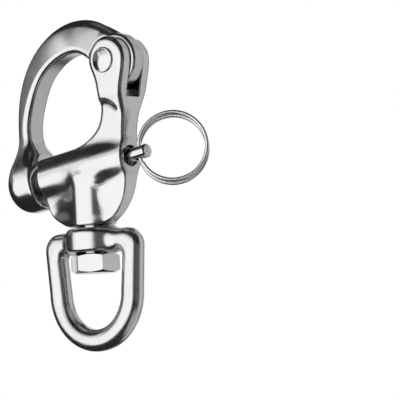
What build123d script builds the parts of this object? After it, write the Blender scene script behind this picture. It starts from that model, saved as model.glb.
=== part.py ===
from build123d import *
from math import cos, radians, sin, sqrt
import os

# Snap shackle with a swivelling eye, cast and machined in stainless steel. All sizes are in millimetres.
# Z runs up the swivel axis and the load line, X across the jaw towards the gate hinge, and the front
# faces -Y. The origin is on the swivel axis, at the inner face of the eye's bow, where a line bears.
# The plunger is drawn back to the point where its tapered nose lets the gate swing open.

# swivel eye
EYE_HALF_WIDTH = 15.4
EYE_SPLAY = 0.9
EYE_BAR = 5.8
EYE_DEPTH = 5.6
EYE_TOP = 25.4
EYE_SHOULDER_R = 4.6
EYE_ROUND = 2.2
WINDOW_CORNER_R = 1.5
HUB_R = 7.4
HUB_BOTTOM = 19.8
HUB_TOP = 26.0
HUB_ROUND = 0.8
HUB_BORE_R = 3.08

# swivel bolt
BOLT_R = 3.0
BOLT_TOP = 37.2
HEX_FLATS = 11.2
HEX_BOTTOM = 14.4
HEX_TOP = 19.4
HEX_TURN = 29.0
HEX_BEVEL = 0.7

# body casting
EAR_T = 11.6
EAR_R = 6.1
EAR_X, EAR_Z = 11.5, 68.2
EAR_FOOT = 60.0
ARM_T = 7.4
ARM_TOP = 54.3
WAIST_T = 6.2
WAIST_Z = 42.0
SKIRT_T = 3.8
HINGE_X, HINGE_Z = 11.2, 68.0
SLOT_W = 4.6
SLOT_BOTTOM = 58.6
BODY_BOTTOM = 26.4
BOSS_R = 5.8
BOSS_TOP = 40.0
EDGE_ROUND = 1.0
EAR_ROUND = 1.5
SCOOP_X, SCOOP_Z, SCOOP_R = 9.6, 53.4, 4.8

# barrel: a cylinder on the plunger axis, which climbs towards the hinge side
MOUTH_X, MOUTH_Z = -14.65, 39.6
BARREL_TILT = 7.7
BARREL_R = 5.5
BARREL_LENGTH = 28.8
BARREL_END_ROUND = 3.0
BORE_R = 3.25
BORE_DEPTH = 25.5
SHANK_HOLE_R = 1.86
SHANK_HOLE_END = 32.0
RECESS_R = 2.6
RECESS_FLOOR = 28.0

# hinge pin, riveted over at both ends
PIN_R = 2.2
PIN_HEAD_R = 3.3
PIN_HEAD_T = 1.1
PIN_HEAD_ROUND = 0.7

# gate
GATE_T = 7.0
TONGUE_T = 4.2
TONGUE_R = 7.15
TONGUE_ROUND = 0.9
TONGUE_MEETS_ARM = 66.0
CHEEK_R = 7.5
TONGUE_BORE_R = 2.26
GATE_ROUND = 2.4
SOCKET_R = 3.4
SOCKET_DEPTH = 5.6
GATE_RING_R = 7.3
GATE_RING_LENGTH = 10.4
GATE_RING_DOME = 5.5
GATE_RING_EDGE = 0.9
MOUTH_GAP = 1.2

# plunger, measured along its axis from the barrel mouth
NOSE_R = 3.2
NOSE_TIP = -2.3
NOSE_TAPER = 1.2
NOSE_TIP_R = 1.6
NOSE_END = 8.5
SHANK_R = 1.8
SHANK_END = 34.8
SHANK_CHAMFER = 0.35
CROSS_HOLE_AT = 31.85
CROSS_HOLE_R = 1.12

# plunger spring
SPRING_MEAN_R = 2.5
SPRING_WIRE = 0.7
SPRING_TURNS = 9
SPRING_PLAY = 0.05

# pull ring, a split ring of two flat turns joined by one short crossing
RING_WIRE = 1.0
RING_MEAN_R = 8.7
RING_TURN_GAP = 0.03
RING_TURN_SLIP = 0.4
RING_SWING = 38.0
RING_CROSSING = 40.0
RING_STEP = 10.0

AXIS = Vector(cos(radians(BARREL_TILT)), 0, sin(radians(BARREL_TILT)))
ACROSS = Vector(-sin(radians(BARREL_TILT)), 0, cos(radians(BARREL_TILT)))
MOUTH = Vector(MOUTH_X, 0, MOUTH_Z)


def on_axis(distance):
    """Plane square to the plunger axis, at a distance from the barrel mouth towards the pull ring."""
    return Plane(origin=MOUTH + AXIS * distance, x_dir=(0, 1, 0), z_dir=AXIS)


def axis_rod(radius, start, end):
    """Round rod along the plunger axis between two distances from the mouth."""
    return extrude(on_axis(start) * Circle(radius), end - start)


def cross_rod(radius, x, z, half_length):
    """Round rod along Y, centred on the middle plane."""
    return slab(Plane.XZ * Pos(x, z) * Circle(radius), 2 * half_length)


def slab(face, thickness):
    """Plate of one outline, centred on the middle plane."""
    return Pos(0, thickness / 2, 0) * extrude(face, thickness)


def off_axis(distance, offset):
    """Point in the middle plane, given along and across the plunger axis, as X and Z."""
    point = MOUTH + AXIS * distance + ACROSS * offset
    return point.X, point.Z


def outline(*curves):
    """Face in the XZ plane inside a closed chain of curves."""
    return Plane.XZ * make_face(Curve() + list(curves))


def body_outline():
    """Side view of the body: ear, back edge, skirt, barrel mouth and the throat of the jaw."""
    ear_right = (EAR_X + EAR_R, EAR_Z)
    ear_left = (EAR_X - EAR_R, EAR_Z)
    ear = ThreePointArc(ear_left, (EAR_X, EAR_Z + EAR_R), ear_right)
    skirt_right = (4.0, BODY_BOTTOM)
    skirt_left = (-4.0, BODY_BOTTOM)
    back = Spline(
        ear_right, (16.4, 61.8), (15.2, 55.0), (14.1, 47.5), (14.0, 41.5), (13.9, 37.5),
        (12.6, 33.0), (9.9, 29.3), (7.0, 27.3), skirt_right,
        tangents=[(0, -1), (-1, 0)],
    )
    bottom = Line(skirt_right, skirt_left)
    mouth_low = off_axis(0, -BARREL_R)
    mouth_high = off_axis(0, BARREL_R)
    skirt = Spline(skirt_left, (-8.3, 27.6), (-12.4, 30.2), mouth_low, tangents=[(-1, 0), (-0.3, 1)])
    mouth = Line(mouth_low, mouth_high)
    throat_start = off_axis(11.5, BARREL_R)
    barrel_top = Line(mouth_high, throat_start)
    throat = Spline(
        throat_start, (3.6, 49.8), (6.1, 52.6), (7.1, 56.0), (7.6, 59.5), (6.8, 64.0), ear_left,
        tangents=[(AXIS.X, AXIS.Z), (0, 1)],
    )
    return outline(ear, back, bottom, skirt, mouth, barrel_top, throat)


def between_flanks(*levels):
    """Solid as thick as each (height, thickness) pair says, tapering evenly from one to the next."""
    right = [(thickness / 2, height) for height, thickness in levels]
    left = [(-y, height) for y, height in reversed(right)]
    flanks = make_face(Polyline(*right, *left, right[0]))
    return extrude(Plane.YZ * flanks, 2 * BARREL_LENGTH, both=True)


def round_flanks(solid, radius):
    """Rounds the front and back rims of a solid cut from a side view."""
    faces = solid.faces().sort_by(Axis.Y)
    return fillet(faces[0].edges() + faces[-1].edges(), radius)


def make_body():
    """One casting: forked ears, a thinner arm, the plunger barrel, and a skirt around the swivel boss."""
    side = body_outline()
    top = EAR_Z + 2 * EAR_R
    ears = round_flanks(slab(side, EAR_T), EAR_ROUND)
    ears &= between_flanks((ARM_TOP, ARM_T), (EAR_FOOT, EAR_T), (top, EAR_T))
    ears -= cross_rod(SCOOP_R, SCOOP_X, SCOOP_Z, EAR_T)
    plate = slab(side, ARM_T)
    plate &= between_flanks((BODY_BOTTOM, SKIRT_T), (WAIST_Z, WAIST_T), (ARM_TOP, ARM_T), (top, ARM_T))
    barrel = axis_rod(BARREL_R, 0, BARREL_LENGTH)
    barrel = fillet(barrel.edges().group_by(Axis.X)[-1], BARREL_END_ROUND)
    boss = Pos(0, 0, BODY_BOTTOM) * extrude(Circle(BOSS_R), BOSS_TOP - BODY_BOTTOM)
    boss = fillet(boss.edges().group_by(Axis.Z)[0], EDGE_ROUND)
    body = plate + ears + barrel + boss
    slot_height = top - SLOT_BOTTOM
    slot = Pos(EAR_X, 0, SLOT_BOTTOM + slot_height / 2) * Box(6 * EAR_R, SLOT_W, slot_height)
    body -= slot
    body -= cross_rod(PIN_R, HINGE_X, HINGE_Z, EAR_T)
    body -= axis_rod(BORE_R, -1, BORE_DEPTH)
    body -= axis_rod(SHANK_HOLE_R, 0, SHANK_HOLE_END)
    body -= axis_rod(RECESS_R, RECESS_FLOOR, SHANK_HOLE_END)
    body -= Pos(0, 0, BODY_BOTTOM) * extrude(Circle(BOLT_R), BOLT_TOP - BODY_BOTTOM)
    return body


def make_gate():
    """Hinged jaw: a bowed arm from the hinge tongue round to the domed end that takes the plunger nose."""
    hinge = (HINGE_X, HINGE_Z)
    leave = Vector(cos(radians(TONGUE_MEETS_ARM)), sin(radians(TONGUE_MEETS_ARM)))
    tongue_top = (HINGE_X + TONGUE_R * leave.X, HINGE_Z + TONGUE_R * leave.Y)
    root_inner = (4.3, 68.5)
    foot_outer = (-24.8, 43.0)
    foot_inner = (-17.0, 43.5)
    outer = Spline(
        foot_outer, (-24.0, 48.0), (-23.8, 54.5), (-23.1, 62.2), (-20.6, 69.8), (-15.5, 75.8), (-9.0, 79.4),
        (-1.5, 80.5), (6.0, 78.9), tongue_top, tangents=[(0.2, 1), (leave.Y, -leave.X)],
    )
    inner = Spline(
        root_inner, (-0.5, 71.2), (-5.4, 71.1), (-10.2, 69.1), (-14.3, 65.6), (-17.3, 60.1),
        (-18.9, 54.0), (-18.5, 48.5), foot_inner, tangents=[(-1, 0.6), (0.6, -1)],
    )
    side = outline(outer, Line(tongue_top, hinge), Line(hinge, root_inner), inner, Line(foot_inner, foot_outer))
    arm = slab(side, GATE_T)
    outer_rims = arm.edges().filter_by(GeomType.BSPLINE).sort_by(SortBy.LENGTH)[-2:]
    arm = fillet(outer_rims, GATE_ROUND)
    arm -= cross_rod(CHEEK_R, HINGE_X, HINGE_Z, GATE_T) - cross_rod(CHEEK_R, HINGE_X, HINGE_Z, TONGUE_T / 2)
    tongue = cross_rod(TONGUE_R, HINGE_X, HINGE_Z, TONGUE_T / 2)
    tongue = fillet(tongue.edges().filter_by(GeomType.CIRCLE), TONGUE_ROUND)
    ring = axis_rod(GATE_RING_R, -MOUTH_GAP - GATE_RING_LENGTH, -MOUTH_GAP)
    ring = fillet(ring.edges().group_by(Axis.X)[0], GATE_RING_DOME)
    ring = fillet(ring.edges().group_by(Axis.X)[-1], GATE_RING_EDGE)
    gate = arm + tongue + ring
    gate -= axis_rod(SOCKET_R, -MOUTH_GAP - SOCKET_DEPTH, 0)
    gate -= cross_rod(TONGUE_BORE_R, HINGE_X, HINGE_Z, GATE_T)
    return gate


def make_hinge_pin():
    """Plain pin with a low domed head on each side."""
    half = EAR_T / 2
    head = cross_rod(PIN_HEAD_R, HINGE_X, HINGE_Z, half + PIN_HEAD_T)
    head = fillet(head.edges().filter_by(GeomType.CIRCLE), PIN_HEAD_ROUND)
    head -= cross_rod(PIN_HEAD_R, HINGE_X, HINGE_Z, half)
    return head + cross_rod(PIN_R, HINGE_X, HINGE_Z, half)


def make_plunger():
    """Stepped pin: a tapered nose that locks the gate, and a shank cross-drilled for the pull ring."""
    profile = Polyline(
        (NOSE_TIP, 0), (NOSE_TIP, NOSE_TIP_R), (NOSE_TIP + NOSE_TAPER, NOSE_R), (NOSE_END, NOSE_R),
        (NOSE_END, SHANK_R), (SHANK_END - SHANK_CHAMFER, SHANK_R), (SHANK_END, SHANK_R - SHANK_CHAMFER),
        (SHANK_END, 0), (NOSE_TIP, 0),
    )
    along = Plane(origin=MOUTH, x_dir=AXIS, z_dir=(0, -1, 0))
    plunger = along * revolve(make_face(profile), Axis.X)
    hole = Plane(origin=MOUTH + AXIS * CROSS_HOLE_AT, z_dir=ACROSS) * Circle(CROSS_HOLE_R)
    return plunger - extrude(hole, 2 * SHANK_R, both=True)


def make_plunger_spring():
    """Compression spring around the shank, from the nose's shoulder to the end of the barrel's bore."""
    end_inset = SPRING_WIRE / 2 + SPRING_PLAY
    height = BORE_DEPTH - NOSE_END - 2 * end_inset
    pitch = height / SPRING_TURNS
    base = on_axis(NOSE_END + end_inset)
    coil = Helix(pitch, height, SPRING_MEAN_R)
    section = Plane(origin=coil @ 0, z_dir=coil % 0) * Circle(SPRING_WIRE / 2)
    return base * sweep(section, path=coil, is_frenet=True)


def make_pull_ring():
    """Split ring through the plunger's cross hole: two flat turns side by side and one crossing."""
    offset = (RING_WIRE + RING_TURN_GAP) / 2
    total = 720.0 - RING_CROSSING
    steps = round(total / RING_STEP)
    middle = total / 2
    points = []
    for i in range(steps + 1):
        turned = total * i / steps
        angle = radians(RING_CROSSING / 2 + turned)
        blend = min(max((turned - middle) / RING_CROSSING + 0.5, 0), 1)
        side = 1 - 2 * (3 * blend**2 - 2 * blend**3)
        x = RING_MEAN_R * cos(angle)
        y = RING_MEAN_R * sin(angle) + RING_TURN_SLIP * side
        points.append((x, y, offset * side))
    wire = Spline(points)
    section = Plane(origin=wire @ 0, z_dir=wire % 0) * Circle(RING_WIRE / 2)
    ring = sweep(section, path=wire)
    swing = radians(RING_SWING)
    outward = AXIS * cos(swing) + Vector(0, 1, 0) * sin(swing)
    centre = MOUTH + AXIS * CROSS_HOLE_AT + outward * RING_MEAN_R
    return Plane(origin=centre, x_dir=outward, z_dir=ACROSS.cross(outward)) * ring


def eye_side(half_width, top, bottom, corner_r):
    """U shape standing on a round bow, its legs leaning out a little to two small corners at the top."""
    springing = bottom + half_width
    half_top = half_width + EYE_SPLAY
    bow_left, bow_right = (-half_width, springing), (half_width, springing)
    top_left, top_right = (-half_top, top), (half_top, top)
    bow = ThreePointArc(bow_left, (0, bottom), bow_right)
    legs = Polyline(bow_right, top_right, top_left, bow_left)
    side = make_face(bow + legs)
    return fillet(side.vertices().group_by(Axis.Y)[-1], corner_r)


def make_swivel_eye():
    """Forged U-shaped eye closed by a drilled hub that the bolt runs through."""
    outer = eye_side(EYE_HALF_WIDTH, EYE_TOP, -EYE_BAR, EYE_SHOULDER_R)
    window = eye_side(EYE_HALF_WIDTH - EYE_BAR, EYE_TOP - EYE_BAR, 0, WINDOW_CORNER_R)
    eye = round_flanks(slab(Plane.XZ * (outer - window), EYE_DEPTH), EYE_ROUND)
    hub = Pos(0, 0, HUB_BOTTOM) * extrude(Circle(HUB_R), HUB_TOP - HUB_BOTTOM)
    hub = fillet(hub.edges(), HUB_ROUND)
    return eye + hub - extrude(Circle(HUB_BORE_R), 2 * HUB_TOP)


def make_swivel_bolt():
    """Hexagon-headed bolt under the hub, screwed up into the body's boss."""
    foot = Pos(0, 0, HEX_BOTTOM)
    hexagon = RegularPolygon(HEX_FLATS / 2, 6, major_radius=False, rotation=HEX_TURN)
    trim = extrude(Circle(HEX_FLATS / sqrt(3)), HEX_TOP - HEX_BOTTOM)
    trim = chamfer(trim.edges(), HEX_BEVEL, 2 * HEX_BEVEL)
    head = foot * (extrude(hexagon, HEX_TOP - HEX_BOTTOM) & trim)
    return head + foot * extrude(Circle(BOLT_R), BOLT_TOP - HEX_BOTTOM)


NODES = {
    "swivel_eye": make_swivel_eye,
    "swivel_bolt": make_swivel_bolt,
    "body": make_body,
    "gate": make_gate,
    "hinge_pin": make_hinge_pin,
    "plunger": make_plunger,
    "plunger_spring": make_plunger_spring,
    "pull_ring": make_pull_ring,
}

os.makedirs("parts", exist_ok=True)
for name, make in NODES.items():
    export_step(make(), f"parts/{name}.step")
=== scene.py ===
from math import cos, pi, radians, sin

import bpy
import numpy as np
from mathutils import Matrix, Vector


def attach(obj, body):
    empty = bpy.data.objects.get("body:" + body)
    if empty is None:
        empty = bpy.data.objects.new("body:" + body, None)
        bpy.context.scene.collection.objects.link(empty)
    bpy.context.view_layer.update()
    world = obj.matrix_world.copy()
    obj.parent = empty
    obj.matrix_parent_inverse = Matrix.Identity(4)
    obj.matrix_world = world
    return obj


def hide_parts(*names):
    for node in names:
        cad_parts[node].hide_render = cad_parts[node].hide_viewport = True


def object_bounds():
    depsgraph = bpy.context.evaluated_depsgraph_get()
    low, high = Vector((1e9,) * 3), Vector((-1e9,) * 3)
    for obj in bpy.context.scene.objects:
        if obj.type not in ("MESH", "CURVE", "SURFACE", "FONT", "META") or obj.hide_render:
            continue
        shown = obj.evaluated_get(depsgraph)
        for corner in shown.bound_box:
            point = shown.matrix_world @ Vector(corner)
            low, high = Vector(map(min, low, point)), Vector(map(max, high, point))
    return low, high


# A swivel-eye snap shackle in polished stainless steel. The body, gate and eye are remade here as smooth
# meshes with their cast blends, on the CAD's own dimensions. The hinge pin is turned and the split ring
# swept. The swivel bolt, plunger and spring are the CAD's meshes with a material of this file.
# Shape functions work in millimetres, in the CAD frame: Z up the swivel axis, X to the hinge, -Y front.
# A pair given to ramp() is where a change starts and where it is complete.

MM = 0.001

# meshing
STEP = 0.25
MARGIN = 1.0
SETTLING_STEPS, LEAST_SLOPE, LEAST_SLOPE_SQUARED = 2, 0.1, 0.25
HOLLOW_BEND = (0.10, 0.40)
# the last pair is how far from a bore's wall the painted shade reaches
MACHINED_REACH, MACHINED_TURN, BORE_SHADE_REACH = (0.02, 0.2), (0.05, 0.3), (0.05, 0.25)
NO_MACHINED_FACE = 9.0

# body casting
BODY_BOX = (-16, -6.4, 26.4), (17.4, 6.4, 74)
EAR_R, EAR_X, EAR_Z = 6.1, 11.5, 68.2
HINGE_X, HINGE_Z = 11.2, 68.0
SLOT_W, SLOT_BOTTOM = 4.6, 58.6
BODY_BOTTOM = 26.4
BOSS_R, BOSS_TOP, BOSS_FLANK = 5.8, 40.0, radians(24.0)
BOSS_BOTTOM_ROUND, BOSS_TOP_ROUND = 0.6, 1.0
EDGE_ROUND, EAR_ROUND, EAR_ROUND_FADE = 0.5, 1.7, (43.0, 52.0)
SCOOP_X, SCOOP_Z, SCOOP_R, SCOOP_FILLET = 9.6, 53.4, 4.8, 2.6
PILLOW_SLOPE, PILLOW_REACH, PILLOW_FADE, PILLOW_FROM_X = 0.14, 7.0, (39.0, 31.0), (-2.0, 4.0)
SKIRT_LEFT, SKIRT_LEFT_FROM_X = 1.0, (2.0, -4.0)
BOSS_BLEND_LEFT, BOSS_BLEND_RIGHT, BOSS_BLEND_ENDS, BARREL_BLEND = 1.7, 1.3, 2.9, 1.9
BOSS_BLEND_FROM_X, BOSS_LOW_END, BOSS_HIGH_END = (1.0, -2.0), (31.0, 28.0), (35.5, 38.0)
FLANKS = ((26.4, 3.0), (32.0, 3.7), (37.0, 4.8), (42.0, 5.9), (54.3, 7.4), (60.0, 11.6), (90.0, 11.6))
ARM_FLANKS = FLANKS[:5] + ((90.0, 7.4),)
FLANK_EASING = (-1.2, -0.6, 0, 0.6, 1.2)
OUTLINE_ROUND, BODY_CUT_ROUND = 0.5, 0.12

# barrel on the plunger axis
MOUTH_X, MOUTH_Z, BARREL_TILT = -14.65, 39.6, radians(7.7)
BARREL_R, BARREL_LENGTH, BORE_R, BORE_DEPTH = 5.5, 32.0, 3.25, 25.5
BARREL_WAIST, BARREL_WAIST_END, BARREL_END_R = 17.5, 30.0, 3.9
BARREL_MOUTH_ROUND, BARREL_END_ROUND = 0.5, 1.0
THROAT_FROM = 11.5
SHANK_HOLE_R, RECESS_R, RECESS_FLOOR = 1.86, 2.6, 28.0
BOLT_R, BOLT_TOP, PIN_R = 3.0, 37.2, 2.2

# gate
GATE_BOX = (-27, -7.3, 30), (19, 7.3, 81)
GATE_T, TONGUE_T, TONGUE_R, TONGUE_ROUND, CHEEK_R, TONGUE_BORE_R = 7.0, 4.2, 7.15, 0.9, 7.5, 2.26
TONGUE_MEETS_ARM = radians(66.0)
FOOT_INSIDE = (-22.0, 38.5)
GATE_TILT, GATE_TILT_FROM_Z, GATE_CURL = (0.05, 0.14), (58.0, 72.0), 0.012
GATE_OUTER_ROUND, GATE_INNER_ROUND, GATE_CUT_ROUND = 2.4, 1.6, 0.15
SOCKET_R, SOCKET_DEPTH, MOUTH_GAP = 3.4, 5.6, 1.2
GATE_RING_R, GATE_RING_LENGTH, GATE_RING_DOME, GATE_RING_EDGE = 7.3, 10.4, 5.5, 0.9
GATE_FLARE, GATE_FLARE_OUTER, GATE_FLARE_FADE = 6.0, 1.2, (-27.0, -22.5)

# hinge pin and pull ring
EAR_HALF, PIN_HEAD_R, PIN_HEAD_T, PIN_HEAD_DOME, PIN_HEAD_ROUND = 5.8, 3.3, 1.1, 0.55, 0.35
PIN_EDGE, PIN_HEAD_BAND, PIN_TIP_R, PIN_SIDES = 0.02, 0.1, 0.05, 96
CROSS_HOLE_AT, RING_MEAN_R, RING_WIRE, RING_TURN_GAP, RING_TURN_SLIP = 31.85, 8.7, 1.0, 0.03, 0.4
RING_SWING, RING_CROSSING, RING_ENDS_AT = radians(38.0), 40.0, 180.0
RING_STEPS, WIRE_SIDES = 600, 40

# swivel eye
EYE_HALF_WIDTH, EYE_SPLAY, EYE_BAR, EYE_DEPTH, EYE_TOP = 15.4, 0.9, 5.8, 5.6, 25.4
EYE_SHOULDER_R, EYE_ROUND, WINDOW_CORNER_R, EYE_CUT_ROUND = 4.6, 2.6, 1.5, 0.15
HUB_R, HUB_BOTTOM, HUB_TOP, HUB_BORE_R = 7.4, 19.8, 26.0, 3.08
HUB_ROUND, HUB_TOP_ROUND, HUB_BLEND = 0.9, 1.7, 2.2

# steel, with noise as (scale, detail)
STEEL = (0.80, 0.80, 0.80)
CLOUDS, WIPING, PATCHES, GRAIN, RIPPLE = (160, 4), (900, 3), (700, 2), (4200, 1), (420, 2)
WIPING_STRETCH = (1, 1, 0.12)
CLOUD_TONES, CLOUD_EDGES, WIPING_EDGES, PATCH_EDGES = (0.35, 0.65), (0.3, 0.7), (0.55, 0.8), (0.35, 0.6)
# the second value is painted shade: the share of the tint left on the walls of bores, sockets, the slot
# and pin holes
DARKER_CLOUD, PAINTED_BORE_SHADE, LEAST_PATCH = 0.94, 0.2, 0.2
CLOUD_ROUGHNESS, WIPED_ROUGHNESS, GRAIN_ROUGHNESS = (0.8, 1.25), 0.06, 0.12
BUMP_DEPTH, GRAIN_BUMP, WIPED_BUMP, RIPPLE_BUMP = 0.00005, 0.9, 0.03, 0.02

# studio, with each light as azimuth, half width, height, half height, softness, strength and lean
FLOOR_WHITE, FLOOR_HALF, FLOOR_DROP = 0.94, 3.0, 0.0001
GLOOM, SQUARISH = 0.022, 2.6
PANELS = (
    (-9, 46, -8, 31, 0.25, 1.16),
    (-5, 44, 8, 30, 0.2, 0.80),
    (-49, 6, 18, 9, 0.4, 1.10, -1.2),
    (-70, 30, 20, 14, 0.8, 0.17),
    (-45, 5, 25, 10, 0.4, 0.50),
    (105, 45, -55, 22, 0.8, 0.40),
    (52, 18, 6, 16, 0.8, 0.09),
    (100, 38, -10, 12, 0.6, 0.12),
    (140, 22, 0, 42, 0.4, 0.54),
    (168, 28, 44, 16, 0.5, 0.45),
    (168, 28, -44, 18, 0.5, 0.50),
    (-141, 14, 5, 35, 0.5, 0.72),
    (196, 20, 8, 28, 0.5, 0.85),
    (-60, 40, 75, 12, 0.8, 0.12),
)

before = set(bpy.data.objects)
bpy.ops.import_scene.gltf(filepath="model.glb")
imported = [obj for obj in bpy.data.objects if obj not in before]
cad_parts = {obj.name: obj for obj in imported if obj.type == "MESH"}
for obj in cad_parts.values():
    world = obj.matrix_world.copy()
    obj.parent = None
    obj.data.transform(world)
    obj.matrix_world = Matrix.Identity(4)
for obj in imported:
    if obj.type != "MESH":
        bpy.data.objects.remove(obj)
cad_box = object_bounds()


# ---------------------------------------------------------------- outlines in the middle plane

def off_axis(distance, offset):
    """Point in the middle plane, given along and across the plunger axis, as X and Z."""
    c, s = cos(BARREL_TILT), sin(BARREL_TILT)
    return MOUTH_X + distance * c - offset * s, MOUTH_Z + distance * s + offset * c


def spline(points, start, end, per_span=10):
    """Cubic spline through the points by chord length, with the tangents at its ends."""
    p = np.array(points, float)
    t = np.concatenate([[0], np.cumsum(np.linalg.norm(np.diff(p, axis=0), axis=1))])
    h = np.diff(t)
    n = len(p)
    a = np.zeros((n, n))
    b = np.zeros((n, 2))
    a[0, 0] = a[-1, -1] = 1
    b[0] = np.array(start, float) / np.linalg.norm(start)
    b[-1] = np.array(end, float) / np.linalg.norm(end)
    for i in range(1, n - 1):
        a[i, i - 1:i + 2] = 1 / h[i - 1], 2 / h[i - 1] + 2 / h[i], 1 / h[i]
        b[i] = 3 * ((p[i] - p[i - 1]) / h[i - 1] ** 2 + (p[i + 1] - p[i]) / h[i] ** 2)
    m = np.linalg.solve(a, b)
    out = []
    for i in range(n - 1):
        u = np.linspace(0, 1, per_span, endpoint=False)[:, None]
        out.append(
            (2 * u**3 - 3 * u**2 + 1) * p[i] + (u**3 - 2 * u**2 + u) * h[i] * m[i]
            + (3 * u**2 - 2 * u**3) * p[i + 1] + (u**3 - u**2) * h[i] * m[i + 1]
        )
    return np.vstack(out + [p[-1:]])


def arc(x, z, r, start, end, steps=24):
    """Points on a circle between two angles in degrees."""
    a = np.radians(np.linspace(start, end, steps + 1))
    return np.stack([x + r * np.cos(a), z + r * np.sin(a)], 1)


def to_line(x, z, line):
    """Distance from each grid point to an open line of points."""
    best = np.full(x.shape, np.inf)
    for (ax, az), (bx, bz) in zip(line[:-1], line[1:]):
        dx, dz = bx - ax, bz - az
        t = np.clip(((x - ax) * dx + (z - az) * dz) / max(dx * dx + dz * dz, 1e-12), 0, 1)
        best = np.minimum(best, (x - ax - t * dx) ** 2 + (z - az - t * dz) ** 2)
    return np.sqrt(best)


def within(x, z, ring):
    """True where a grid point is inside a closed ring of points."""
    odd = np.zeros(x.shape, bool)
    for (ax, az), (bx, bz) in zip(ring, np.roll(ring, -1, axis=0)):
        if az != bz:
            crosses = (az > z) != (bz > z)
            odd ^= crosses & (x < (bx - ax) * (z - az) / (bz - az) + ax)
    return odd


def signed(x, z, ring):
    """Distance to a closed ring of points, negative inside."""
    closed = np.vstack([ring, ring[:1]])
    return np.where(within(x, z, ring), -1, 1) * to_line(x, z, closed)


# ---------------------------------------------------------------- solids as distance fields

def cut_round(a, b, r):
    """What a and b share, with the edge between them rounded."""
    return np.minimum(np.maximum(a, b), -r) + np.hypot(np.maximum(a + r, 0), np.maximum(b + r, 0))


def join_soft(a, b, k):
    """a and b together, with a cast blend k wide in the corner between them."""
    h = np.clip(0.5 + 0.5 * (b - a) / k, 0, 1)
    return b + (a - b) * h - k * h * (1 - h)


def ramp(value, low, high):
    """Smooth step from 0 at low to 1 at high."""
    t = np.clip((value - low) / (high - low), 0, 1)
    return t * t * (3 - 2 * t)


def between(first, second, share):
    """First value where the share is 0, second where it is 1."""
    return first + (second - first) * share


def nearer(a, b):
    """Of two signed distances, the one to the nearer surface."""
    return np.where(np.abs(a) < np.abs(b), a, b)


def rod(radial, along, r, start, end, start_round, end_round):
    """Round rod with its own round at each end."""
    side = radial - r
    return np.maximum(cut_round(side, start - along, start_round), cut_round(side, along - end, end_round))


class Grid:
    """Points on a regular grid around a box, with the plunger axis's own coordinates."""

    def __init__(self, low, high):
        self.low = np.array(low, float) - MARGIN
        counts = np.ceil((np.array(high, float) + MARGIN - self.low) / STEP).astype(int) + 1
        lines = [self.low[i] + STEP * np.arange(counts[i]) for i in range(3)]
        self.x, self.y, self.z = np.meshgrid(*lines, indexing="ij", sparse=True)
        self.middle = np.broadcast_arrays(self.x[:, 0, :], self.z[:, 0, :])
        c, s = cos(BARREL_TILT), sin(BARREL_TILT)
        self.along = (self.x - MOUTH_X) * c + (self.z - MOUTH_Z) * s
        self.across = (self.z - MOUTH_Z) * c - (self.x - MOUTH_X) * s
        self.off_barrel = np.hypot(self.y, self.across)
        self.off_swivel = np.hypot(self.x, self.y)
        self.off_hinge = np.hypot(self.x - HINGE_X, self.z - HINGE_Z)


def through(values):
    """A field of the middle plane, the same all the way through."""
    return values[:, None, :]


def sample(grid, field, points):
    """Field between grid points, by the distance to each corner."""
    at = (points - grid.low) / STEP
    i = np.clip(np.floor(at).astype(int), 0, np.array(field.shape) - 2)
    f = at - i
    out = 0
    for dx in (0, 1):
        for dy in (0, 1):
            for dz in (0, 1):
                w = (f[:, 0] if dx else 1 - f[:, 0]) * (f[:, 1] if dy else 1 - f[:, 1])
                w = w * (f[:, 2] if dz else 1 - f[:, 2])
                out = out + w * field[i[:, 0] + dx, i[:, 1] + dy, i[:, 2] + dz]
    return out


def skin(grid, field):
    """Vertices, quads and normals of the surface where the field is zero."""
    inside = field < 0
    shape = np.array(field.shape)
    total = np.zeros((*(shape - 1), 3))
    count = np.zeros(shape - 1)
    index = np.indices(field.shape, dtype=np.float32)
    crossings = []
    for axis in range(3):
        lo = [slice(None)] * 3
        hi = [slice(None)] * 3
        lo[axis], hi[axis] = slice(None, -1), slice(1, None)
        lo, hi = tuple(lo), tuple(hi)
        f0, f1 = field[lo], field[hi]
        crossed = inside[lo] != inside[hi]
        crossings.append(crossed)
        where = np.stack([index[i][lo] for i in range(3)], -1)
        where[..., axis] += np.where(crossed, f0 / np.where(crossed, f0 - f1, 1), 0)
        others = [i for i in range(3) if i != axis]
        for u in (0, 1):
            for v in (0, 1):
                part = [slice(None)] * 3
                part[others[0]] = slice(u, u + shape[others[0]] - 1)
                part[others[1]] = slice(v, v + shape[others[1]] - 1)
                part = tuple(part)
                total += where[part] * crossed[part][..., None]
                count += crossed[part]
    active = count > 0
    number = np.full(count.shape, -1)
    number[active] = np.arange(active.sum())
    points = grid.low + STEP * total[active] / count[active][:, None]
    quads = []
    for axis in range(3):
        u, v = [(1, 2), (2, 0), (0, 1)][axis]
        edges = np.argwhere(crossings[axis])
        keep = (edges[:, u] > 0) & (edges[:, v] > 0)
        keep &= (edges[:, u] < shape[u] - 1) & (edges[:, v] < shape[v] - 1)
        edges = edges[keep]
        corners = []
        for du, dv in ((-1, -1), (0, -1), (0, 0), (-1, 0)):
            cell = edges.copy()
            cell[:, u] += du
            cell[:, v] += dv
            corners.append(number[tuple(cell.T)])
        quad = np.stack(corners, 1)
        flip = ~inside[tuple(edges.T)]
        quad[flip] = quad[flip][:, ::-1]
        quads.append(quad)
    slopes = np.gradient(field, STEP)
    for _ in range(SETTLING_STEPS):
        g = np.stack([sample(grid, s, points) for s in slopes], 1)
        f = np.clip(sample(grid, field, points), -STEP, STEP)
        points = points - f[:, None] * g / np.maximum((g * g).sum(1), LEAST_SLOPE_SQUARED)[:, None]
    g = np.stack([sample(grid, s, points) for s in slopes], 1)
    normals = g / np.maximum(np.linalg.norm(g, axis=1), 1e-9)[:, None]
    return points, np.vstack(quads), normals


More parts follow.
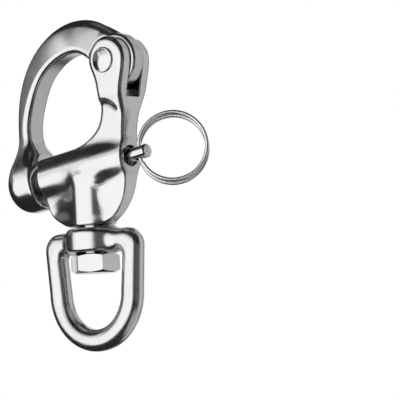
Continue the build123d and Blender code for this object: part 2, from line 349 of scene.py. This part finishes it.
def bend(field):
    """How much the surface curves at each grid point, per mm: below zero in a hollow."""
    slopes = np.gradient(field, STEP)
    length = np.maximum(np.sqrt(sum(g * g for g in slopes)), LEAST_SLOPE)
    return sum(np.gradient(g / length, STEP, axis=i) for i, g in enumerate(slopes))


# ---------------------------------------------------------------- the three cast and forged pieces

def thickness(z, levels):
    """Thickness at each height, eased a little where its taper changes."""
    heights, values = zip(*levels)
    return sum(np.interp(z + s, heights, values) for s in FLANK_EASING) / len(FLANK_EASING)


def body_outline():
    """Side view of the body: back edge, skirt, barrel mouth, the throat of the jaw and ear."""
    right, left = (EAR_X + EAR_R, EAR_Z), (EAR_X - EAR_R, EAR_Z)
    back = spline(
        [right, (16.4, 61.8), (15.2, 55.0), (14.1, 47.5), (14.0, 41.5), (13.9, 37.5),
         (12.6, 33.0), (9.9, 29.3), (7.0, 27.3), (4.0, BODY_BOTTOM)], (0, -1), (-1, 0),
    )
    mouth_low, mouth_high = off_axis(0, -BARREL_R), off_axis(0, BARREL_R)
    skirt = spline([(-4.0, BODY_BOTTOM), (-8.3, 27.6), (-12.4, 30.2), mouth_low], (-1, 0), (-0.3, 1))
    throat = spline(
        [off_axis(THROAT_FROM, BARREL_R), (3.6, 49.8), (6.1, 52.6), (7.1, 56.0), (7.6, 59.5),
         (6.8, 64.0), left], (cos(BARREL_TILT), sin(BARREL_TILT)), (0, 1),
    )
    ear = arc(EAR_X, EAR_Z, EAR_R, 180, 0)
    return np.vstack([back, skirt, [mouth_high], throat, ear[1:-1]])


def body_plate(grid, side):
    """The casting's flat part: the arm and skirt, stepping out to the ears around the scoop."""
    arm = thickness(grid.z, ARM_FLANKS) / 2
    ear_step = thickness(grid.z, FLANKS) / 2 - arm
    past_scoop = np.hypot(grid.x - SCOOP_X, grid.z - SCOOP_Z) - SCOOP_R
    ear_step = ear_step * np.clip(past_scoop / SCOOP_FILLET + 1, 0, 1) ** 2
    low = ramp(grid.z, *PILLOW_FADE)
    pillow = PILLOW_SLOPE * np.clip(-side, 0, PILLOW_REACH) * ramp(grid.x, *PILLOW_FROM_X)
    pillow = low * (pillow + SKIRT_LEFT * ramp(grid.x, *SKIRT_LEFT_FROM_X))
    edge_round = between(EDGE_ROUND, EAR_ROUND, ramp(grid.z, *EAR_ROUND_FADE))
    return cut_round(side, np.abs(grid.y) - arm - ear_step - pillow, edge_round)


def body_field():
    """The casting, and the fields that say where it is machined flat and where its bores are."""
    grid = Grid(*BODY_BOX)
    side = through(signed(*grid.middle, body_outline()))
    y = np.abs(grid.y)
    narrowing = np.clip((grid.along - BARREL_WAIST) / (BARREL_WAIST_END - BARREL_WAIST), 0, 1) ** 2
    barrel_r = between(BARREL_R, BARREL_END_R, narrowing)
    rounds = BARREL_MOUTH_ROUND, BARREL_END_ROUND
    barrel = rod(grid.off_barrel, grid.along, barrel_r, 0, BARREL_LENGTH, *rounds)
    flank = y * cos(BOSS_FLANK) - grid.x * sin(BOSS_FLANK) - BOSS_R
    flank = np.maximum(flank, grid.x + BOSS_R * sin(BOSS_FLANK))
    boss = np.minimum(grid.off_swivel - BOSS_R, flank)
    boss = rod(boss, grid.z, 0, BODY_BOTTOM, BOSS_TOP, BOSS_BOTTOM_ROUND, BOSS_TOP_ROUND)
    blend = between(BOSS_BLEND_RIGHT, BOSS_BLEND_LEFT, ramp(grid.x, *BOSS_BLEND_FROM_X))
    near_end = np.maximum(ramp(grid.z, *BOSS_LOW_END), ramp(grid.z, *BOSS_HIGH_END))
    solid = join_soft(body_plate(grid, side), boss, between(blend, BOSS_BLEND_ENDS, near_end))
    solid = join_soft(solid, barrel, BARREL_BLEND)
    solid = cut_round(solid, side, OUTLINE_ROUND)
    slot = np.maximum(y - SLOT_W / 2, SLOT_BOTTOM - grid.z)
    pin = grid.off_hinge - PIN_R
    bolt = np.maximum(grid.off_swivel - BOLT_R, grid.z - BOLT_TOP)
    bore = np.maximum(grid.off_barrel - BORE_R, grid.along - BORE_DEPTH)
    recess = np.maximum(grid.off_barrel - RECESS_R, RECESS_FLOOR - grid.along)
    hole = grid.off_barrel - SHANK_HOLE_R
    voids = (slot, pin, bolt, bore, recess, hole)
    for void in voids:
        solid = cut_round(solid, -void, BODY_CUT_ROUND)
    return grid, solid, side, np.minimum.reduce([v + 0 * solid for v in voids])


def gate_arm(grid):
    """The gate's bowed arm, and the distance to its inner edge."""
    hinge = [(HINGE_X, HINGE_Z)]
    leave = cos(TONGUE_MEETS_ARM), sin(TONGUE_MEETS_ARM)
    tongue_top = HINGE_X + TONGUE_R * leave[0], HINGE_Z + TONGUE_R * leave[1]
    outer = spline(
        [(-24.8, 43.0), (-24.0, 48.0), (-23.8, 54.5), (-23.1, 62.2), (-20.6, 69.8), (-15.5, 75.8),
         (-9.0, 79.4), (-1.5, 80.5), (6.0, 78.9), tongue_top], (0.2, 1), (leave[1], -leave[0]),
    )
    inner = spline(
        [(4.3, 68.5), (-0.5, 71.2), (-5.4, 71.1), (-10.2, 69.1), (-14.3, 65.6), (-17.3, 60.1),
         (-18.9, 54.0), (-18.5, 48.5), (-17.0, 43.5)], (-1, 0.6), (0.6, -1),
    )
    outer = np.vstack([[FOOT_INSIDE], outer])
    outside = ~within(*grid.middle, np.vstack([outer, hinge, inner]))
    to_outer = to_line(*grid.middle, np.vstack([outer, hinge]))
    to_inner = to_line(*grid.middle, np.vstack([hinge, inner, outer[:1]]))
    by_outer = to_outer < to_inner
    far = through(np.where(outside & by_outer, 1, -1) * to_outer)
    near = through(np.where(outside & ~by_outer, 1, -1) * to_inner)
    inward = np.maximum(-near, 0)
    tilt = between(*GATE_TILT, ramp(grid.z, *GATE_TILT_FROM_Z))
    face = np.abs(grid.y) - GATE_T / 2 + tilt * inward + GATE_CURL * inward ** 2
    arm = cut_round(far, face, GATE_OUTER_ROUND)
    return cut_round(near, arm, GATE_INNER_ROUND), near


def gate_field():
    """The gate: a bowed arm, a flat tongue at the hinge and a round socket end."""
    grid = Grid(*GATE_BOX)
    y = np.abs(grid.y)
    arm, near = gate_arm(grid)
    cheeks = np.maximum(grid.off_hinge - CHEEK_R, TONGUE_T / 2 - y)
    arm = cut_round(arm, -cheeks, GATE_CUT_ROUND)
    off_tongue = grid.off_hinge - TONGUE_R
    tongue = cut_round(off_tongue, y - TONGUE_T / 2, TONGUE_ROUND)
    start, end = -MOUTH_GAP - GATE_RING_LENGTH, -MOUTH_GAP
    socket_end = rod(grid.off_barrel, grid.along, GATE_RING_R, start, end, GATE_RING_DOME, GATE_RING_EDGE)
    flare = between(GATE_FLARE_OUTER, GATE_FLARE, ramp(grid.x, *GATE_FLARE_FADE))
    solid = np.minimum(join_soft(arm, socket_end, flare), tongue)
    socket = np.maximum(grid.off_barrel - SOCKET_R, -MOUTH_GAP - SOCKET_DEPTH - grid.along)
    bore = grid.off_hinge - TONGUE_BORE_R
    for void in (socket, bore):
        solid = cut_round(solid, -void, GATE_CUT_ROUND)
    return grid, solid, nearer(near, off_tongue), np.minimum(socket, bore)


def eye_outline(half_width, top, bottom, corner):
    """U shape standing on a round bow, its legs leaning out a little to two small corners at the top."""
    reach = half_width + EYE_SPLAY - corner
    return np.vstack([
        arc(0, bottom + half_width, half_width, 180, 360, 48),
        arc(reach, top - corner, corner, 0, 90, 10),
        arc(-reach, top - corner, corner, 90, 180, 10),
    ])


def eye_field():
    """The swivel eye: a round-edged U closed by a drilled hub."""
    reach = EYE_HALF_WIDTH + EYE_SPLAY
    grid = Grid((-reach, -HUB_R, -EYE_BAR), (reach, HUB_R, HUB_TOP))
    rim = eye_outline(EYE_HALF_WIDTH, EYE_TOP, -EYE_BAR, EYE_SHOULDER_R)
    window = eye_outline(EYE_HALF_WIDTH - EYE_BAR, EYE_TOP - EYE_BAR, 0, WINDOW_CORNER_R)
    outer = through(signed(*grid.middle, rim))
    inner = -through(signed(*grid.middle, window))
    face = np.abs(grid.y) - EYE_DEPTH / 2
    bar = np.maximum(cut_round(outer, face, EYE_ROUND), cut_round(inner, face, EYE_ROUND))
    hub = rod(grid.off_swivel, grid.z, HUB_R, HUB_BOTTOM, HUB_TOP, HUB_ROUND, HUB_TOP_ROUND)
    solid = join_soft(bar, hub, HUB_BLEND)
    bore = np.maximum(grid.off_swivel - HUB_BORE_R, HUB_BOTTOM - EYE_BAR - grid.z)
    return grid, cut_round(solid, -bore, EYE_CUT_ROUND), NO_MACHINED_FACE, bore


# ---------------------------------------------------------------- meshes on the CAD's bodies

def smooth_mesh(name, points, faces):
    """Mesh with smooth faces, from points in millimetres."""
    mesh = bpy.data.meshes.new(name)
    mesh.from_pydata((points * MM).tolist(), [], faces)
    mesh.polygons.foreach_set("use_smooth", np.ones(len(mesh.polygons), bool))
    return mesh


def place(name, node, body, material, mesh):
    """Object of a mesh, riding on its body in place of the CAD node."""
    mesh.materials.append(material)
    piece = bpy.data.objects.new(name, mesh)
    bpy.context.scene.collection.objects.link(piece)
    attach(piece, body)
    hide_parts(node)


def cast(name, node, body, material, built):
    """Piece with the surface of a field, and with masks of its hollows, machined faces and bores, the last
    for painted shade.
    """
    grid, field, side, void = built
    points, quads, normals = skin(grid, field)
    mesh = smooth_mesh(name, points, quads.tolist())

    def at_surface(values):
        return sample(grid, np.ascontiguousarray(np.broadcast_to(values, field.shape)), points)

    level = 1 - ramp(np.abs(normals[:, 1]), *MACHINED_TURN)
    masks = {
        "hollow": ramp(-at_surface(bend(field)), *HOLLOW_BEND),
        "machined": (1 - ramp(np.abs(at_surface(side)), *MACHINED_REACH)) * level,
        # walls of bores, sockets, the slot and pin holes, which the steel darkens as painted shade
        "inside": 1 - ramp(np.abs(at_surface(void)), *BORE_SHADE_REACH),
    }
    for key, values in masks.items():
        mesh.attributes.new(key, "FLOAT", "POINT").data.foreach_set("value", values.astype(np.float32))
    mesh.normals_split_custom_set_from_vertices(normals.tolist())
    mesh.update()
    place(name, node, body, material, mesh)


def swept(name, node, body, material, rows):
    """Closed piece through rows of points, each row a ring, with the first and last rows filled."""
    rows = np.array(rows)
    count, size = rows.shape[:2]
    faces = [tuple(range(size))[::-1], tuple(range((count - 1) * size, count * size))]
    for i in range(count - 1):
        for j in range(size):
            a, b = i * size + j, i * size + (j + 1) % size
            faces.append((a, b, b + size, a + size))
    place(name, node, body, material, smooth_mesh(name, rows.reshape(-1, 3), faces))


def pin_rows():
    """Hinge pin turned about its axis: a shank with a riveted, slightly domed head on each side."""
    rim_r, rim_h = PIN_HEAD_R - PIN_HEAD_ROUND, PIN_HEAD_T - PIN_HEAD_DOME - PIN_HEAD_ROUND
    base = [
        (PIN_R, -PIN_EDGE), (PIN_R, 0.0), (PIN_HEAD_R - PIN_EDGE, 0.0),
        (PIN_HEAD_R, PIN_EDGE), (PIN_HEAD_R, PIN_HEAD_BAND),
    ]
    quarter = np.linspace(0, pi / 2, 7)
    corner = [(rim_r + PIN_HEAD_ROUND * cos(a), rim_h + PIN_HEAD_ROUND * sin(a)) for a in quarter]
    inward = np.linspace(rim_r, PIN_TIP_R, 12)[1:]
    dome = [(r, PIN_HEAD_T - PIN_HEAD_DOME * (r / rim_r) ** 2) for r in inward]
    half = [(r, EAR_HALF + h) for r, h in base + corner + dome]
    profile = [(r, -y) for r, y in half[::-1]] + half
    turns = np.linspace(0, 2 * pi, PIN_SIDES, endpoint=False)
    return [[(HINGE_X + r * cos(t), y, HINGE_Z - r * sin(t)) for t in turns] for r, y in profile]


def ring_rows():
    """Split ring through the plunger's cross hole: two turns side by side and one crossing."""
    total = 720.0 - RING_CROSSING
    angle = np.linspace(0, total, RING_STEPS)
    side = 1 - 2 * ramp(angle, (total - RING_CROSSING) / 2, (total + RING_CROSSING) / 2)
    a = np.radians(RING_ENDS_AT + RING_CROSSING / 2 + angle)
    local = np.stack([
        RING_MEAN_R * np.cos(a), RING_MEAN_R * np.sin(a) + RING_TURN_SLIP * side,
        (RING_WIRE + RING_TURN_GAP) / 2 * side,
    ], 1)
    axis = np.array([cos(BARREL_TILT), 0, sin(BARREL_TILT)])
    across = np.array([-sin(BARREL_TILT), 0, cos(BARREL_TILT)])
    outward = axis * cos(RING_SWING) + np.array([0, sin(RING_SWING), 0])
    centre = np.array([MOUTH_X, 0, MOUTH_Z]) + axis * CROSS_HOLE_AT + outward * RING_MEAN_R
    basis = np.stack([outward, -across, np.cross(across, outward)])
    line = centre + local @ basis
    tangent = np.gradient(line, axis=0)
    tangent /= np.linalg.norm(tangent, axis=1)[:, None]
    up = basis[2] - tangent * (tangent @ basis[2])[:, None]
    up /= np.linalg.norm(up, axis=1)[:, None]
    out = np.cross(tangent, up)
    turns = np.linspace(0, 2 * pi, WIRE_SIDES, endpoint=False)
    half = RING_WIRE / 2
    return [[p + half * (cos(t) * o + sin(t) * u) for t in turns] for p, o, u in zip(line, out, up)]


# ---------------------------------------------------------------- materials

class Tree:
    """Shader nodes of a material or world, with short ways to add and join them."""

    def __init__(self, owner, output):
        owner.use_nodes = True
        self.nodes, self.links = owner.node_tree.nodes, owner.node_tree.links
        self.nodes.clear()
        self.surface = self.add(output).inputs["Surface"]

    def feed(self, socket, value):
        """Join another node's output to the socket, or set the socket to a value."""
        if isinstance(value, bpy.types.NodeSocket):
            self.links.new(value, socket)
        else:
            socket.default_value = value

    def add(self, kind, inputs=None, **settings):
        """New node with some of its inputs fed and some of its settings changed."""
        node = self.nodes.new("ShaderNode" + kind)
        for key, value in settings.items():
            setattr(node, key, value)
        for key, value in (inputs or {}).items():
            self.feed(node.inputs[key], value)
        return node

    def math(self, kind, a, b=0.0):
        """Sum, product or other operation on two values, or on the first alone."""
        return self.add("Math", {0: a, 1: b}, operation=kind).outputs[0]

    def spread(self, value, low, high, to_low, to_high, kind="LINEAR"):
        """The value's range from low to high made into another range, and held at its ends."""
        inputs = {"Value": value, "From Min": low, "From Max": high, "To Min": to_low, "To Max": to_high}
        return self.add("MapRange", inputs, interpolation_type=kind).outputs["Result"]

    def mix(self, share, first, second):
        """First shader where the share is 0, second where it is 1."""
        return self.add("MixShader", {"Fac": share, 1: first.outputs[0], 2: second.outputs[0]}).outputs[0]


def grey(level):
    """Colour with no tint."""
    return level, level, level, 1


def steel(name, tint, roughness, machined_roughness, grain):
    """Polished steel with fine wiping marks, rougher where the mould's grain or a machined face shows,
    with painted shade darkening the walls of its bores, slot and holes.
    """
    material = bpy.data.materials.new(name)
    tree = Tree(material, "OutputMaterial")
    math, spread = tree.math, tree.spread
    position = tree.add("TexCoord").outputs["Object"]

    def noise(scale, detail, stretch=(1, 1, 1)):
        at = tree.add("Mapping", {"Scale": stretch, "Vector": position}).outputs["Vector"]
        return tree.add("TexNoise", {"Scale": scale, "Detail": detail, "Vector": at}).outputs["Fac"]

    def mask(key):
        return tree.add("Attribute", attribute_name=key).outputs["Fac"]

    cloudy = noise(*CLOUDS)
    tone = tree.add("ValToRGB", {"Fac": spread(cloudy, *CLOUD_TONES, 0, 1)})
    tone.color_ramp.elements[0].color = (*[c * DARKER_CLOUD for c in tint], 1)
    tone.color_ramp.elements[1].color = (*tint, 1)
    # painted shade: the walls of bores, sockets, the slot and pin holes are darkened in colour to a fifth
    # of the tint
    bore_shade_colour = (*[c * PAINTED_BORE_SHADE for c in tint], 1)
    colour = tree.add("MixRGB", {"Fac": mask("inside"), "Color1": tone.outputs["Color"], "Color2": bore_shade_colour})

    wiped = noise(*WIPING, WIPING_STRETCH)
    polish = math("ADD", spread(cloudy, *CLOUD_EDGES, *(roughness * share for share in CLOUD_ROUGHNESS)),
                  spread(wiped, *WIPING_EDGES, 0, WIPED_ROUGHNESS))
    patchy = math("MULTIPLY", mask("hollow"), spread(noise(*PATCHES), *PATCH_EDGES, LEAST_PATCH, 1))
    rough = math("ADD", polish, math("MULTIPLY", patchy, grain * GRAIN_ROUGHNESS))
    rough = math("ADD", rough, math("MULTIPLY", mask("machined"), machined_roughness - roughness))

    height = math("MULTIPLY", noise(*GRAIN), math("MULTIPLY", mask("hollow"), grain * GRAIN_BUMP))
    height = math("ADD", height, math("MULTIPLY", wiped, WIPED_BUMP))
    height = math("ADD", height, math("MULTIPLY", noise(*RIPPLE), RIPPLE_BUMP))
    bump = tree.add("Bump", {"Distance": BUMP_DEPTH, "Strength": 1.0, "Height": height})
    metal = tree.add("BsdfPrincipled", {
        "Metallic": 1.0, "Base Color": colour.outputs["Color"], "Roughness": rough,
        "Normal": bump.outputs["Normal"],
    })
    tree.feed(tree.surface, metal.outputs["BSDF"])
    return material


casting = steel("polished_casting", STEEL, 0.17, 0.30, 1.0)
forging = steel("polished_forging", STEEL, 0.21, 0.21, 0.6)
turned = steel("turned_steel", STEEL, 0.12, 0.12, 0.0)
wire = steel("ring_wire", (0.95, 0.95, 0.95), 0.36, 0.36, 0.0)
spring = steel("spring_wire", (0.55, 0.55, 0.55), 0.25, 0.25, 0.0)

cast("body_casting", "body", "shackle", casting, body_field())
cast("gate_casting", "gate", "gate", casting, gate_field())
cast("eye_forging", "swivel_eye", "eye", forging, eye_field())
swept("hinge_rivet", "hinge_pin", "shackle", turned, pin_rows())
swept("split_ring", "pull_ring", "ring", wire, ring_rows())
for node, material in (("swivel_bolt", turned), ("plunger", turned), ("plunger_spring", spring)):
    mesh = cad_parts[node].data
    mesh.materials.clear()
    mesh.materials.append(material)


# ---------------------------------------------------------------- studio

def floor():
    """Pale floor just under the shackle, seen from above only."""
    material = bpy.data.materials.new("pale_floor")
    tree = Tree(material, "OutputMaterial")
    paint = tree.add("BsdfPrincipled", {"Base Color": grey(FLOOR_WHITE), "Specular IOR Level": 0.0})
    from_below = tree.add("NewGeometry").outputs["Backfacing"]
    tree.feed(tree.surface, tree.mix(from_below, paint, tree.add("BsdfTransparent")))
    low = cad_box[0].z - FLOOR_DROP
    corners = [(x * FLOOR_HALF, y * FLOOR_HALF, low) for x, y in ((-1, -1), (1, -1), (1, 1), (-1, 1))]
    mesh = bpy.data.meshes.new("floor")
    mesh.from_pydata(corners, [], [(0, 1, 2, 3)])
    mesh.materials.append(material)
    plane = bpy.data.objects.new("floor", mesh)
    bpy.context.scene.collection.objects.link(plane)
    plane.visible_glossy = False


def studio():
    """Even white room for the eye and the floor; polished metal sees soft ovals of light in gloom."""
    world = bpy.data.worlds.new("studio")
    bpy.context.scene.world = world
    tree = Tree(world, "OutputWorld")
    math = tree.math
    split = tree.add("SeparateXYZ", {0: tree.add("TexCoord").outputs["Generated"]})
    x, y, z = (split.outputs[i] for i in range(3))

    def panel(azimuth, half_width, height, half_height, soft, strength, lean=0.0):
        """Oval light with a soft rim, by its angles as seen from the object in degrees."""
        a = radians(azimuth)
        ahead = math("ADD", math("MULTIPLY", x, sin(a)), math("MULTIPLY", y, -cos(a)))
        beside = math("ADD", math("MULTIPLY", x, cos(a)), math("MULTIPLY", y, sin(a)))
        raised = math("SUBTRACT", math("ARCSINE", z), radians(height))
        aside = math("SUBTRACT", math("ARCTAN2", beside, ahead), math("MULTIPLY", raised, lean))
        aside = math("DIVIDE", aside, radians(half_width))
        raised = math("DIVIDE", raised, radians(half_height))
        from_middle = math("ADD", math("POWER", math("ABSOLUTE", aside), SQUARISH),
                           math("POWER", math("ABSOLUTE", raised), SQUARISH))
        inside = tree.spread(from_middle, 1 - soft, 1 + soft, 1.0, 0.0, "SMOOTHSTEP")
        return math("MULTIPLY", inside, strength)

    light = GLOOM
    for numbers in PANELS:
        light = math("MAXIMUM", panel(*numbers), light)
    plain = tree.add("Background", {"Color": grey(1)})
    shiny = tree.add("Background", {"Color": grey(1), "Strength": light})
    glossy = tree.add("LightPath").outputs["Is Glossy Ray"]
    tree.feed(tree.surface, tree.mix(glossy, plain, shiny))
    world.cycles.sampling_method = "NONE"


def camera():
    """Long lens at the front right, a little below the middle, with the object left of centre."""
    azimuth, elevation, roll = radians(43.0), radians(-4.73), radians(2.655)
    distance, focal, width = 0.7, 244.25, 36.0
    aim = Vector((0, 0, 0.0386))
    left_of_centre, above_centre = 0.2708, 0.0513
    back = Vector((sin(azimuth) * cos(elevation), -cos(azimuth) * cos(elevation), sin(elevation)))
    right = Vector((cos(azimuth), sin(azimuth), 0))
    up = back.cross(right)
    rolled_right = right * cos(roll) - up * sin(roll)
    rolled_up = right * sin(roll) + up * cos(roll)
    base = Matrix((rolled_right, rolled_up, back)).transposed()
    seen = Vector((-left_of_centre * width, above_centre * width, -focal))
    turn = seen.rotation_difference(Vector((0, 0, -1))).to_matrix()
    data = bpy.data.cameras.new("camera")
    data.lens, data.sensor_width = focal, width
    data.clip_start, data.clip_end = 0.01, 20
    made = bpy.data.objects.new("camera", data)
    made.matrix_world = Matrix.Translation(aim + back * distance) @ (base @ turn).to_4x4()
    bpy.context.scene.collection.objects.link(made)
    bpy.context.scene.camera = made


floor()
studio()
camera()
bpy.context.scene.view_settings.view_transform = "Standard"
